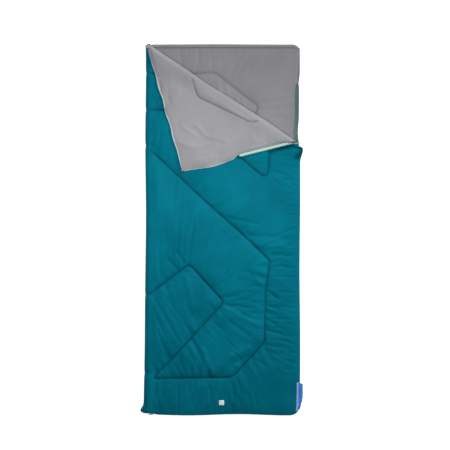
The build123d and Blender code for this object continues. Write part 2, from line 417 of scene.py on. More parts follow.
BASE_SEAM = rounded([(-0.30, 0.752), (-0.166, 0.757), (-0.038, 0.764), (0.178, 0.596), (0.10, 0.47)], 0.022)
COVER_SEAMS_FLAT = COVER_SEAMS + [np.array(unfold(FLAP_SEAM))]
BASE_SEAMS = [
    BASE_SEAM,
    rounded([(0.10, 0.47), (-0.10, 0.25), (-0.375, 0.05)], 0.03),
    rounded([(-0.375, -0.45), (0.0, -0.30), (0.24, -0.5), (0.05, -0.72), (-0.375, -0.72)], 0.03),
]


# ---- Cloth held down along its seams and swelling between them ----
def near_seams(x, y, seams):
    """Each point's distance from the nearest seam."""
    return np.min([beside(x, y, route)[0] for route in seams], axis=0)


def puckers(x, y, seams, length, reach, seed):
    """Small folds that run off each seam where the thread gathers the cloth, with a height of about 1."""
    rng = np.random.default_rng(seed)
    total = np.zeros_like(x)
    for route in seams:
        d, along, side = beside(x, y, route)
        for way in (-1.0, 1.0):
            fold = np.zeros_like(x)
            slant = rng.uniform(-0.35, 0.35)
            for _ in range(5):
                k = 2 * math.pi / (length * rng.uniform(0.65, 1.7))
                fold += np.cos(k * (along + slant * d) + rng.uniform(0, 2 * math.pi))
            far = reach * (1 + 0.6 * np.sin(along * rng.uniform(11, 19) + rng.uniform(0, 6)))
            fade = (1 - bell(d, 0.007)) * np.exp(-((d / far) ** 1.4))
            strong = 0.75 + 0.45 * np.sin(along * rng.uniform(6, 10) + rng.uniform(0, 6))
            total += np.where(side == way, fold / 1.6 * fade * strong, 0)
    return total


# Single folds, each with a height in millimetres, half a width in metres and the spots it runs through.
COVER_FOLDS = [
    (5.0, 0.013, (-0.096, -0.590), (-0.070, -0.660), (-0.048, -0.700)),
    (4.5, 0.014, (-0.030, -0.685), (0.031, -0.625), (0.125, -0.580)),
    (-3.5, 0.010, (-0.010, -0.712), (0.045, -0.655), (0.130, -0.620)),
    (-3.5, 0.009, (0.020, -0.335), (0.070, -0.328)),
    (-3.5, 0.009, (0.022, -0.372), (0.085, -0.398)),
    (-3.5, 0.011, (0.035, -0.452), (0.130, -0.520)),
    (3.0, 0.012, (0.060, -0.420), (0.150, -0.455)),
    (-4.0, 0.008, (0.216, -0.300), (0.262, -0.335)),
    (-4.0, 0.008, (0.214, -0.372), (0.268, -0.388)),
    (-4.0, 0.008, (0.211, -0.440), (0.255, -0.462)),
    (-4.0, 0.009, (0.210, -0.490), (0.285, -0.512)),
    (-3.5, 0.014, (0.125, -0.030), (0.360, -0.050)),
    (3.5, 0.014, (0.170, -0.078), (0.360, -0.090)),
    (-3.0, 0.010, (0.240, -0.125), (0.350, -0.132)),
    (3.5, 0.011, (-0.075, 0.200), (0.005, 0.280)),
    (3.0, 0.010, (0.005, 0.190), (0.060, 0.290)),
    (3.0, 0.012, (0.080, 0.160), (0.115, 0.250)),
    (-3.0, 0.010, (0.016, 0.055), (0.168, 0.024)),
    (3.0, 0.010, (0.105, -0.075), (0.030, -0.200)),
    (3.0, 0.010, (0.160, -0.115), (0.085, -0.235)),
    (-3.0, 0.009, (0.000, -0.015), (-0.090, -0.190)),
    (-3.0, 0.009, (0.066, -0.045), (-0.015, -0.195)),
    (3.0, 0.011, (0.150, -0.210), (0.190, -0.280)),
    (-3.5, 0.008, (-0.222, -0.110), (-0.187, -0.165)),
    (-3.0, 0.008, (-0.262, -0.150), (-0.222, -0.195)),
    (2.5, 0.013, (-0.175, -0.240), (-0.140, -0.380)),
    (2.5, 0.014, (-0.100, -0.760), (-0.235, -0.870)),
    (-2.5, 0.011, (-0.065, -0.775), (-0.190, -0.885)),
]
FLAP_FOLDS = [
    (3.2, 0.009, (-0.127, 0.499), (-0.075, 0.446), (0.013, 0.429)),
    (3.2, 0.010, (-0.215, 0.420), (-0.136, 0.394), (-0.039, 0.411)),
    (2.6, 0.009, (-0.198, 0.499), (-0.127, 0.446)),
    (-2.2, 0.012, (-0.110, 0.352), (0.010, 0.362)),
]
BASE_FOLDS = [
    (2.8, 0.008, (-0.022, 0.725), (-0.018, 0.665)),
    (2.8, 0.008, (0.020, 0.705), (0.028, 0.640)),
    (2.8, 0.008, (0.062, 0.670), (0.070, 0.610)),
    (2.8, 0.008, (0.100, 0.640), (0.108, 0.590)),
]


def ridges(x, y, folds, seams):
    """The single folds' height, fading out where a seam holds the cloth down."""
    total = np.zeros_like(x)
    for height, width, *spots in folds:
        total += height * MM * bell(beside(x, y, np.array(spots))[0], width)
    return total * (1 - bell(near_seams(x, y, seams), 0.009))


class Puffed:
    """A flat cloth, a little too large for its seams, that a simulation on a grid lifts."""

    def __init__(self, name, seams, step, frames, slack, bending, seed):
        self.x0, self.y0 = -0.376, -END_Y
        width, length = SIDE_X - self.x0, 2 * END_Y
        self.nx, self.ny = round(width / step) + 1, round(length / step) + 1
        self.dx, self.dy = width / (self.nx - 1), length / (self.ny - 1)
        xs = self.x0 + self.dx * np.arange(self.nx)
        ys = self.y0 + self.dy * np.arange(self.ny)
        x, y = np.meshgrid(xs, ys, indexing="ij")
        seam_distance = near_seams(x, y, seams)
        z = np.random.default_rng(seed).uniform(0, 0.0004, x.shape)
        cloth = add_grid(name, np.stack([x, y, z], -1), WADDING)
        held = (seam_distance < 0.62 * step) | (x > SIDE_X - 0.5 * step) | (np.abs(y) > END_Y - 0.5 * step)
        pins = cloth.vertex_groups.new(name="pins")
        pins.add([int(k) for k in np.flatnonzero(held)], 1.0, "REPLACE")
        loose = cloth.vertex_groups.new(name="loose")
        for k, weight in enumerate(np.exp(-seam_distance / 0.045).ravel()):
            if weight > 0.02:
                loose.add([k], float(weight), "REPLACE")
        solver = cloth.modifiers.new("swell", "CLOTH")
        solver.collision_settings.use_collision = False
        for setting, value in (
            ("vertex_group_mass", "pins"),
            ("vertex_group_shrink", "loose"),
            ("shrink_min", -slack[0]),
            ("shrink_max", -slack[1]),
            ("quality", 4),
            ("mass", 0.15),
            ("tension_stiffness", 15),
            ("compression_stiffness", 15),
            ("shear_stiffness", 5),
            ("bending_stiffness", bending),
            ("air_damping", 2.0),
        ):
            setattr(solver.settings, setting, value)
        scene.gravity = (0, 0, 5.0)
        scene.frame_end = frames
        for frame_number in range(1, frames + 1):
            scene.frame_set(frame_number)
        done = cloth.evaluated_get(bpy.context.evaluated_depsgraph_get()).to_mesh()
        found = np.empty(len(done.vertices) * 3)
        done.vertices.foreach_get("co", found)
        self.split(found.reshape(self.nx, self.ny, 3)[:, :, 2].clip(0, None))
        mesh = cloth.data
        bpy.data.objects.remove(cloth)
        bpy.data.meshes.remove(mesh)

    def split(self, height):
        """Parts the lift into its broad shape and its folds."""
        reach = round(0.032 / self.dx)
        spread = np.exp(-((np.arange(-3 * reach, 3 * reach + 1) / reach) ** 2) / 2)
        spread /= spread.sum()
        broad = np.pad(height, 3 * reach, mode="edge")
        for axis in (0, 1):
            broad = np.apply_along_axis(np.convolve, axis, broad, spread, "valid")
        self.broad = broad
        self.folds = height - broad

    def sample(self, field, x, y):
        u = np.clip((x - self.x0) / self.dx, 0, self.nx - 1.001)
        v = np.clip((y - self.y0) / self.dy, 0, self.ny - 1.001)
        i, j = u.astype(int), v.astype(int)
        a, b = u - i, v - j
        low = field[i, j] * (1 - a) + field[i + 1, j] * a
        high = field[i, j + 1] * (1 - a) + field[i + 1, j + 1] * a
        return low * (1 - b) + high * b

    def lift(self, x, y, loft, reach, crisp):
        """How far the cloth stands up. The filling gives way, so its broad shape levels off at its loft."""
        broad = loft * (1 - np.exp(-self.sample(self.broad, x, y) / reach))
        return (broad + crisp * self.sample(self.folds, x, y)).clip(-0.5 * MM, None)


cover_cloth = Puffed("cover_trial", COVER_SEAMS_FLAT, 0.0065, 26, (0.02, 0.12), 1.5, 11)
base_cloth = Puffed("base_trial", BASE_SEAMS, 0.0085, 22, (0.02, 0.10), 0.8, 23)


# ---- Grids ----
STEP = 0.0052
SOFT = 0.022
# Distances from a soft edge, close together where it turns down.
SOFT_ROWS = SOFT * (1 - np.cos(np.linspace(0, math.pi / 2, 8)))


def stations(start, end, step):
    return np.linspace(start, end, max(2, round(abs(end - start) / step) + 1))


columns = np.concatenate([stations(FOLD_X, SIDE_X - SOFT, STEP)[:-1], (SIDE_X - SOFT_ROWS)[::-1]])
foot_rows = -END_Y + SOFT_ROWS
crease_at_left = crease_y(FOLD_X)
share = np.linspace(0, 1, 1 + round((crease_at_left + END_Y - SOFT) / STEP))[1:]
left_rows = np.concatenate([foot_rows, foot_rows[-1] + share * (crease_at_left - foot_rows[-1])])
head_rows = np.concatenate([stations(crease_at_left, END_Y - SOFT, STEP)[1:-1], (END_Y - SOFT_ROWS)[::-1]])
rows = np.concatenate([left_rows, head_rows])


def round_corner(x, y, sign, r):
    """Moves the points of a square corner onto a round one."""
    a = np.clip((x - (SIDE_X - r)) / r, 0, 1)
    b = np.clip((sign * y - (END_Y - r)) / r, 0, 1)
    inside = (a > 0) & (b > 0)
    new_x = np.where(inside, SIDE_X - r + r * a * np.sqrt(1 - b * b / 2), x)
    new_y = np.where(inside, sign * (END_Y - r + r * b * np.sqrt(1 - a * a / 2)), y)
    return new_x, new_y


def outward(x, y):
    """The way out of the bag across its zipped edges."""
    dx = np.maximum(x - SIDE_X + FOOT_R, 0.0)
    dy = np.minimum(y + END_Y - FOOT_R, 0.0)
    size = np.maximum(np.hypot(dx, dy), 1e-9)
    return dx / size, dy / size


def side_shift(x, y):
    """The bag's edges aren't quite straight: how far each point sits off the plain rectangle."""
    left, right, foot, head = (bell(d.clip(0), 0.09) for d in (x - FOLD_X, SIDE_X - x, y + END_Y, END_Y - y))
    dx = left * (-0.009 * smooth((-y - 0.15) / 0.7) + 0.0015 * np.sin(y * 9.0 + 1.0))
    dx += right * (0.0015 * np.sin(y * 8.0) - 0.006 * bell(y - 0.47, 0.05))
    dy = 0.003 * foot * np.sin(x * 13.0 + 0.6) + 0.0006 * head * np.sin(x * 10.0 + 2.0)
    return x + dx, y + dy


# ---- The quilts' faces ----
SEAM_WIDTH = 0.0052
# How far from the edge an inner face reaches its full height. An outer face takes the softer SOFT.
TIGHT = 0.012
HEM_GAP = 1.5 * MM
ZIP_EDGE = FOLD_R - 4.5 * MM
# The fold under the curl below the turned corner, pressed in and painted dark: painted shade in the hollow.
CURL_HOLLOW = rounded(
    [(0.235, 0.374), (0.290, 0.392), (0.335, 0.403), (0.366, 0.396), (0.370, 0.372), (0.357, 0.344)], 0.02
)


def base_low(x, y):
    """The bottom quilt's lower face, on the floor. Its edges rise to meet the zip or the hem."""
    closed = zip_distance(x, y)
    zip_rise = (1 - lip(closed, SOFT)) * (ZIP_EDGE - 0.5 * MM) * smooth((END_Y - y) / 0.10)
    hem_rise = (1 - lip(np.minimum(END_Y - y, closed), SOFT)) * (BASE_TOP / 2 - HEM_GAP)
    return np.maximum(zip_rise, hem_rise * smooth((y - 0.5) / 0.1))


def base_high(x, y):
    closed, head = zip_distance(x, y), END_Y - y
    puff = base_cloth.lift(x, y, 8.5 * MM, 11 * MM, 0.45)
    body = 13.5 * MM + puff + 1.2 * MM * waves(x, y, 0.24, 9, 5) * smooth(np.minimum(closed, head) / 0.05)
    body = body + ridges(x, y, BASE_FOLDS, BASE_SEAMS)
    body = body - 3.2 * MM * bell(near_seams(x, y, BASE_SEAMS), SEAM_WIDTH)
    body = body + 2.5 * MM * bell(SIDE_X - x - 0.016, 0.009) * smooth((y - 0.4) / 0.1)
    body = BASE_TOP + (body - BASE_TOP) * smooth((x - FOLD_X) / 0.05)
    edge = BASE_TOP / 2 + HEM_GAP
    level = edge + (body - edge) * lip(np.minimum(head, SIDE_X - x + 0.02), SOFT)
    rim = smooth(head / 0.10)
    zip_line = (ZIP_EDGE + 0.5 * MM) * rim + edge * (1 - rim)
    return zip_line + (level - zip_line) * lip(closed, TIGHT)


def fold_groove(y):
    """How far the seams that run into the side fold press it in."""
    seams_y = (0.578, 0.756, 0.405, -0.320, -0.700)
    return 4.0 * MM * np.max([bell(y - seam_y, 0.013) for seam_y in seams_y], axis=0)


def cover_high(x, y, stitched=1.0):
    """The cover's upper face, from the side fold to the zip and from the foot to the crease."""
    closed = zip_distance(x, y)
    calm = 1 - 0.75 * np.exp(-(((x + 0.27) / 0.15) ** 2) - ((y - 0.11) / 0.25) ** 2)
    puff = cover_cloth.lift(x, y, 11.5 * MM, 12 * MM, 0.75 * calm)
    rolling = 2.2 * MM * waves(x, y, 0.33, 9, 3) + 0.9 * MM * waves(x, y, 0.12, 9, 4)
    gathered = 1.3 * MM * calm * puckers(x, y, COVER_SEAMS, 0.062, 0.075, 17)
    gathered = gathered + ridges(x, y, COVER_FOLDS, COVER_SEAMS)
    body = 38.5 * MM + puff + (rolling + gathered) * smooth(closed / 0.08)
    body = body - stitched * 4.6 * MM * bell(near_seams(x, y, COVER_SEAMS), SEAM_WIDTH)
    body = np.maximum(body, COVER_LOW + 5.5 * MM) - 5 * MM * smooth((-0.70 - y) / 0.12)
    curl = np.exp(-(((x - 0.350) / 0.034) ** 2) - ((y - 0.378) / 0.036) ** 2)
    hollow = smooth((x - 0.225) / 0.09) * bell(beside(x, y, CURL_HOLLOW)[0], 0.0085)
    body = body + 13 * MM * curl - 15 * MM * hollow
    groove = fold_groove(y)
    body = (COVER_TOP - groove) + (body - COVER_TOP + groove) * smooth((x - FOLD_X) / 0.035)
    body = COVER_TOP + (body - COVER_TOP) * smooth((crease_y(x) - y) * ALONG[0] / 0.03)
    edge = FOLD_R + 4.5 * MM
    return edge + (body - edge) * lip(closed, SOFT)


def cover_low(x, y):
    closed = zip_distance(x, y)
    edge = FOLD_R + 3.5 * MM
    at_fold = smooth((x - FOLD_X) / 0.05)
    puff = 1.0 * MM * waves(x, y, 0.2, 9, 8) * smooth(closed / 0.05) * at_fold
    body = COVER_LOW + (0.0008 + puff) * smooth((crease_y(x) - y) * ALONG[0] / 0.05) * at_fold
    return edge + (body - edge) * lip(closed, TIGHT)


def cover_grid():
    x = np.repeat(columns[:, None], len(left_rows), 1)
    first = len(foot_rows)
    start = foot_rows[-1]
    y = np.empty_like(x)
    y[:, :first] = foot_rows
    y[:, first:] = start + share * (crease_y(columns)[:, None] - start)
    return x, y


def cover_bulge(x, y):
    """How far the cover's puffed edge hangs over the zip, most at the curl below the turned corner."""
    curl = 15 * MM * bell(y - 0.384, 0.036) * smooth((x - 0.2) / 0.1)
    return (7 * MM + curl) * smooth((x - FOLD_X) / 0.05)


def base_bulge(x, y):
    return 2 * MM * smooth((x - FOLD_X) / 0.05) * smooth((END_Y - y) / 0.1)


def tape_room(y):
    """How far the bottom quilt's cloth stops short of the edge, where the open zip half shows beside it."""
    open_part = 7 * MM * smooth((y - 0.38) / 0.04) * (1 - smooth((y - 0.66) / 0.08))
    return open_part - 5 * MM * smooth((y - 0.70) / 0.06) * smooth((END_Y - y) / 0.03)


def placed(x, y, z, bulge, inset=0.0, head=False):
    """Rounds the corners, pushes the zipped edges out or in and lets the edges wander."""
    px, py = round_corner(x, y, -1, FOOT_R)
    if head:
        px, py = round_corner(px, py, 1, HEAD_R)
    ox, oy = outward(px, py)
    closed = zip_distance(x, y).clip(0)
    rise = lip(closed, SOFT)
    push = bulge * 4 * rise * (1 - rise) - inset * bell(closed, 0.025)
    px, py = side_shift(px + ox * push, py + oy * push)
    return np.stack([px, py, z], -1)


def add_surface(
    name, points, material, flip, node, body, painted_shade=None
):
    piece = add_grid(name, points, material, flip)
    if painted_shade is not None:
        set_painted_shade(piece, painted_shade)
    tidy_faces(piece, False)
    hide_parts(node)
    if body:
        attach(piece, body)
    return piece


def lowest_near(z, reach):
    """The lowest height among each point's neighbours."""
    wide = np.pad(z, reach, mode="edge")
    return np.lib.stride_tricks.sliding_window_view(wide, (2 * reach + 1, 2 * reach + 1)).min((-2, -1))


def add_wadding(name, low, high, node, body, skip=3, level=True):
    """The filling between two faces, a little thinner than the space it has."""
    if level:
        ceiling = lowest_near(high[..., 2], skip + 1)
        ground = -lowest_near(-low[..., 2], skip + 1)
        centre = (low[..., 2] + high[..., 2]) / 2
        tight = ceiling - ground < 0.6 * MM
        low, high = low.copy(), high.copy()
        high[..., 2] = np.where(tight, centre + 0.15 * MM, ceiling)
        low[..., 2] = np.where(tight, centre - 0.15 * MM, ground)
    picks = np.ix_(*(np.unique(np.append(np.arange(0, count, skip), count - 1)) for count in low.shape[:2]))
    low, high = low[picks], high[picks]
    middle = (low + high) / 2
    piece = add_slab(name, middle + (low - middle) * 0.72, middle + (high - middle) * 0.72, WADDING)
    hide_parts(node)
    if body:
        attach(piece, body)
    return piece


def painted_shade_along(x, y, seams, strength, width=0.0035):
    """Painted shade: how much darker the cloth is painted in the crease beside its stitches, standing in for
    the shadow there.
    """
    return strength * bell(near_seams(x, y, seams), width)


x, y = np.meshgrid(columns, rows, indexing="ij")
low = placed(x, y, base_low(x, y), base_bulge(x, y), tape_room(y), True)
high = placed(x, y, base_high(x, y), 0.0, tape_room(y), True)
add_surface("base_shell_cloth", low, SHELL, True, "base_shell", "base_quilt")
# The lining is painted darker beside its seams and along the head hem's tuck line: painted shade in those
# creases.
add_surface(
    "base_lining_cloth", high, LINING, False, "base_lining", "base_quilt",
    painted_shade=np.maximum(painted_shade_along(x, y, BASE_SEAMS, 0.55), 0.5 * bell(END_Y - 0.0165 - y, 0.003)),
)
add_wadding("base_wadding", low, high, "base_fill", "base_quilt")

x, y = cover_grid()
low = placed(x, y, cover_low(x, y), 0.0)
high = placed(x, y, cover_high(x, y), cover_bulge(x, y))
# The shell is painted darker along its seams and in the hollow under the curl: painted shade in those creases.
add_surface(
    "cover_shell_cloth", high, SHELL, False, "cover_shell", "top_quilt",
    painted_shade=np.maximum(painted_shade_along(x, y, COVER_SEAMS, 0.8), painted_shade_along(x, y, [CURL_HOLLOW], 0.85, 0.010)),
)
add_surface("cover_lining_cloth", low, LINING, True, "cover_lining", "top_quilt")
add_wadding("cover_wadding", low, high, "cover_fill", "top_quilt")


# ---- Side fold ----
def fold_radii(y, angle):
    """The side fold's outer and inner radius, at an angle from -90 at the base to 90 at the cover."""
    foot = lip(y + END_Y, SOFT)
    head = lip(END_Y - y, SOFT)
    turn = smooth((angle + 90) / 180)
    outer = 5 * MM + (FOLD_R - fold_groove(y) * turn - 5 * MM) * foot
    middle = FOLD_R - BASE_TOP / 2
    hem_out, hem_in = middle + HEM_GAP, middle - HEM_GAP
    outer = hem_out + (outer - hem_out) * head
    inner = hem_in + (FOLD_IN - hem_in) * head
    return outer, inner


def fold_points(radius, y, angle):
    turn = np.radians(angle)
    sx, sy = side_shift(np.full_like(y, FOLD_X), y)
    flare = 0.017 * bell(y + END_Y - 0.012, 0.022) * np.cos(turn)
    return np.stack([sx - radius * np.cos(turn) - flare, sy, FOLD_R + radius * np.sin(turn)], -1)


FOLD_STEPS = 16
# The shell is in three strips and the filling in two, so that the opened cover lies flat. The outer ones stay
# with their quilt, and the shell's middle strip stays with the bottom quilt.
BAND_FROM, BAND_TO = 6, 10
FILL_TO, FILL_FROM = 3, 13
angles, along_y = np.meshgrid(np.linspace(-90, 90, FOLD_STEPS + 1), rows, indexing="ij")
outer, inner = fold_radii(along_y, angles)
outside = fold_points(outer, along_y, angles)
inside = fold_points(inner, along_y, angles)
for part_name, first, last, body in (
    ("lower", 0, BAND_FROM, "base_quilt"),
    ("middle", BAND_FROM, BAND_TO, "base_quilt"),
    ("upper", BAND_TO, FOLD_STEPS, "top_quilt"),
):
    strip = add_surface(
        f"side_fold_{part_name}_shell_cloth", outside[first : last + 1], SHELL, True, "side_fold_shell", body,
    )
    if part_name == "middle":
        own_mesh(strip)
for part_name, first, last, body in (
    ("lower", 0, FILL_TO, "base_quilt"),
    ("upper", FILL_FROM, FOLD_STEPS, "top_quilt"),
):
    low, high = inside[first : last + 1], outside[first : last + 1]
    add_wadding(f"side_fold_{part_name}_wadding", low, high, "side_fold_fill", body, skip=2, level=False)
lining = add_surface(
    "side_fold_lining_cloth", inside, LINING, False, "side_fold_lining", None
)
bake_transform(lining)


# ---- Corner flap ----
ZIP_SIDE = float(np.linalg.norm(TO_RIGHT))
ZIP_LINE = TO_RIGHT / ZIP_SIDE
ZIP_IN = np.array([-ZIP_LINE[1], ZIP_LINE[0]])
HEM_LINE = TO_LEFT / np.linalg.norm(TO_LEFT)
HEM_IN = np.array([HEM_LINE[1], -HEM_LINE[0]])
LEFT_FROM_ZIP = float(TO_LEFT @ ZIP_IN)
RIGHT_FROM_HEM = float(TO_RIGHT @ HEM_IN)
WHOLE = 1 - ROLL_R / FLAP_REACH


def flap_grid():
    """Shares p towards the crease's left end and q towards its right end, from the turned corner."""
    soft_p = SOFT_ROWS / LEFT_FROM_ZIP
    p = np.concatenate([soft_p, np.linspace(soft_p[-1], WHOLE, 82)[1:]])
    soft_q = SOFT_ROWS / RIGHT_FROM_HEM
    room = (WHOLE - p)[:, None]
    squeeze = np.minimum(1, room / (soft_q[-1] * 1.3))
    first = soft_q[None, :] * squeeze
    rest = first[:, -1:] + np.linspace(0, 1, 108)[None, 1:] * (room - first[:, -1:])
    q = np.concatenate([first, rest], 1)
    return np.repeat(p[:, None], q.shape[1], 1), q


def zip_edge_push(u):
    """How far the zip edge stands out of its straight line, at a distance from the turned corner."""
    bow = 14 * MM * bell(u - 0.150, 0.085)
    tape_shows = 13 * MM * smooth((u - 0.245) / 0.035) * (1 - smooth((u - 0.50) / 0.05))
    return bow - tape_shows


def shared_out(start, to_left, to_right, p, q):
    return (start[k] + p * to_left[k] + q * to_right[k] for k in (0, 1))


def flap_xy(p, q):
    x, y = shared_out(TURNED, TO_LEFT, TO_RIGHT, p, q)
    push = zip_edge_push(q * ZIP_SIDE) * bell(p * LEFT_FROM_ZIP, 0.06)
    wander = 2.5 * MM * np.sin(p * 31.0) * np.sin(p * math.pi) * bell(q * RIGHT_FROM_HEM, 0.05)
    return x - ZIP_IN[0] * push - HEM_IN[0] * wander, y - ZIP_IN[1] * push - HEM_IN[1] * wander


# A small second fold in the lining beside the crease's right end.
TUCK = rounded([(0.328, 0.447), (0.285, 0.424), (0.215, 0.386)], 0.02)


def crease_t(x, y):
    """How far along the crease a point lies, from its left end."""
    return (x - CREASE_LEFT[0]) * ALONG[0] + (y - CREASE_LEFT[1]) * ALONG[1]


def roll_wobble(t):
    return 2.2 * MM * np.sin(t * 11.0 + 0.7) + 1.3 * MM * np.sin(t * 26.0 + 2.0)


def flap_faces(p, q):
    """The flap's x and y, and the heights of its lower and its upper face."""
    x, y = flap_xy(p, q)
    fx, fy = shared_out(REST_CORNER, CREASE_LEFT - REST_CORNER, CREASE_RIGHT - REST_CORNER, p, q)
    from_axis = (CREASE_AT[0] - x) * OUT[0] + (CREASE_AT[1] - y) * OUT[1]
    zip_d, hem_d = p * LEFT_FROM_ZIP, q * RIGHT_FROM_HEM
    edge = np.minimum(zip_d, hem_d)
    under = np.where(y < crease_y(x), cover_high(np.clip(x, FOLD_X, SIDE_X), y, 0.0), COVER_TOP)
    low = FLAP_LOW + (under + 1.5 * MM - FLAP_LOW) * smooth(from_axis / 0.03)
    loft = 6 * MM + cover_cloth.lift(fx, fy, 9.5 * MM, 11 * MM, 0.35)
    loft = loft + 1.3 * MM * waves(x, y, 0.15, 9, 31)
    drape = smooth((0.60 - y) / 0.25) * smooth(edge / 0.05)
    spread = np.arctan2(y - TURNED[1] + 0.05, x - TURNED[0] + 0.09)
    loft = loft + 2.6 * MM * drape * np.sin(spread * 14.0 + 0.9 * np.sin(x * 23 + y * 9))
    loft = loft + ridges(x, y, FLAP_FOLDS, [FLAP_SEAM])
    loft = loft - 3.6 * MM * bell(beside(x, y, FLAP_SEAM)[0], SEAM_WIDTH)
    tuck_d, tuck_along, tuck_side = beside(x, y, TUCK)
    tuck_fade = smooth((0.12 - tuck_along) / 0.06)
    loft = loft - 3.5 * MM * bell(tuck_d, 0.008) * tuck_fade
    loft = loft + 3.0 * MM * bell(tuck_d - 0.016, 0.010) * (tuck_side > 0) * tuck_fade
    at_roll = ROLL_R - ROLL_IN + roll_wobble(crease_t(x, y))
    loft = at_roll + (loft - at_roll) * smooth(from_axis / 0.07)
    thick = 2.0 * MM + (loft - 2.0 * MM) * lip(edge, SOFT)
    lift = (1 - lip(edge, TIGHT)) * (1.5 + 3.0 * smooth((zip_d - hem_d) / 0.05)) * MM
    low = low + lift
    # The underside stays level over the cover's hollows, so the unfolded flap keeps to the cover's own layer.
    level = COVER_TOP + 1.8 * MM
    low = (low + level + np.sqrt((low - level) ** 2 + (1.0 * MM) ** 2)) / 2
    return x, y, low, low + thick


p, q = flap_grid()
x, y, z_low, z_high = flap_faces(p, q)
low = np.stack([x, y, z_low], -1)
high = np.stack([x, y, z_high], -1)
# The filling stops this many rows short of the flap's two free edges.
RIM = 3
# The flap lining is painted darker beside its seam: painted shade in the crease there.
flap_pieces = [
    add_surface(
        "flap_lining_cloth", high, TURNED_LINING, False, "flap_lining", None,
        painted_shade_along(x, y, [FLAP_SEAM], 0.6),
    ),
    add_surface(
        "flap_shell_cloth", low, SHELL, True, "flap_shell", None,
    ),
    add_wadding("flap_wadding", low[RIM:, RIM:], high[RIM:, RIM:], "flap_fill", None),
]


# ---- Crease roll ----
ROLL_T = crease_t(x[:, -1], y[:, -1])
ROLL_PART = (ROLL_T - ROLL_T.min()) / (ROLL_T.max() - ROLL_T.min())
ROLL_TOP = {"outer": z_high[:, -1], "inner": z_low[:, -1]}
ROLL_FOOT_T = np.array([crease_t(x_end, crease_y(x_end)) for x_end in (FOLD_X, SIDE_X)])
# How long the roll is halfway up, and how far it sags there.
ROLL_MIDDLE = 0.8776
ROLL_DROOP = 7 * MM

def roll_surface(part, angle, face, proud=0.0):
    """Points on the roll: part is 0 to 1 along the crease, the angle -90 at the cover to 90 at the flap."""
    turn = np.radians(angle)
    rising = smooth((angle + 90) / 180)
    t_low = ROLL_FOOT_T[0] + part * (ROLL_FOOT_T[1] - ROLL_FOOT_T[0])
    t_mid = part * ROLL_MIDDLE
    t_top = np.interp(part, ROLL_PART[::-1], ROLL_T[::-1])
    w = smooth((angle + 90) / 90)
    v = smooth(angle / 90)
    t = (t_low * (1 - w) + t_mid * w) * (1 - v) + t_top * v
    start = CREASE_LEFT - OUT * ROLL_R
    cover_x = start[0] + ALONG[0] * t_low
    cover_y = start[1] + ALONG[1] * t_low
    cover_z = (cover_low if face == "outer" else cover_high)(cover_x, cover_y)
    top_z = np.interp(part, ROLL_PART[::-1], ROLL_TOP[face][::-1])
    radius = (CREASE_Z - cover_z) * (1 - rising) + (top_z - CREASE_Z) * rising
    ends = lip(np.minimum(part, 1 - part), 0.05)
    middle = 4 * rising * (1 - rising)
    full = ROLL_R + roll_wobble(t) if face == "outer" else ROLL_IN
    radius = radius + (full - radius) * middle * ends + proud
    px = start[0] + ALONG[0] * t + OUT[0] * radius * np.cos(turn)
    py = start[1] + ALONG[1] * t + OUT[1] * radius * np.cos(turn)
    pz = CREASE_Z + radius * np.sin(turn) - ROLL_DROOP * (radius / ROLL_R * np.cos(turn)) ** 2
    shifted = side_shift(px, py)
    px = px + (shifted[0] - px) * (1 - rising)
    py = py + (shifted[1] - py) * (1 - rising)
    return np.stack([px, py, pz], -1)


turned, part = np.meshgrid(np.linspace(-90, 90, 19), ROLL_PART)
outside = roll_surface(part, turned, "outer")
inside = roll_surface(part, turned, "inner")
lining = add_surface(
    "crease_lining_cloth", outside, TURNED_LINING, True, "crease_roll_lining", None
)
inner_strip = add_grid("crease_shell_cloth", inside, SHELL)
tidy_faces(inner_strip, False)
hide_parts("crease_roll_shell")
wadding = add_wadding("crease_wadding", inside, outside, "crease_roll_fill", None, skip=2, level=False)


def over_roll(*pieces):
    for piece in pieces:
        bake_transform(piece)


def on_flap_bodies(*pieces):
    for piece in pieces:
        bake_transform(piece)


over_roll(lining, inner_strip, wadding)
on_flap_bodies(*flap_pieces)


# ---- Points on the finished cloth ----
def on_cover(x, y, above=0.0):
    return placed(x, y, cover_high(x, y) + above, cover_bulge(x, y))


def on_base(x, y, above=0.0):
    return placed(x, y, base_high(x, y) + above, 0.0, tape_room(y), True)


def on_flap(x, y, above=0.0):
    shares = np.linalg.solve(FLAP_AXES, np.stack([x - TURNED[0], y - TURNED[1]]).reshape(2, -1))
    flap_x, flap_y, _, top = flap_faces(shares[0].reshape(x.shape), shares[1].reshape(x.shape))
    return np.stack([flap_x, flap_y, top + above], -1)


def add_stitches(name, routes, on, material, pitch=5.0 * MM, size=4.3 * MM, wide=1.1 * MM):
    """Rows of single sewn stitches, each a short thread that dips into the cloth at its ends."""
    points, faces = [], []
    for route in routes:
        lengths = lengths_along(route)
        starts = np.arange(pitch / 2, lengths[-1] - size, pitch)
        first, middle, last = (
            on(*(np.interp(starts + done * size, lengths, way) for way in route.T)) for done in (0.0, 0.5, 1.0)
        )
        ahead = last - first
        ahead /= np.linalg.norm(ahead, axis=1)[:, None]
        across = np.cross(ahead, (0, 0, 1)) * wide
        ring = [first - UP * 0.1 * MM, middle + across, middle + UP * 0.8 * MM, middle - across]
        ring += [middle - UP * 0.3 * MM, last - UP * 0.1 * MM]
        for stitch in np.stack(ring, 1):
            n = len(points)
            points.extend(stitch)
            for one, two in ((1, 2), (2, 3), (3, 4), (4, 1)):
                faces += [(n, n + two, n + one), (n + 5, n + one, n + two)]
    return add_mesh(name, points, faces, material)


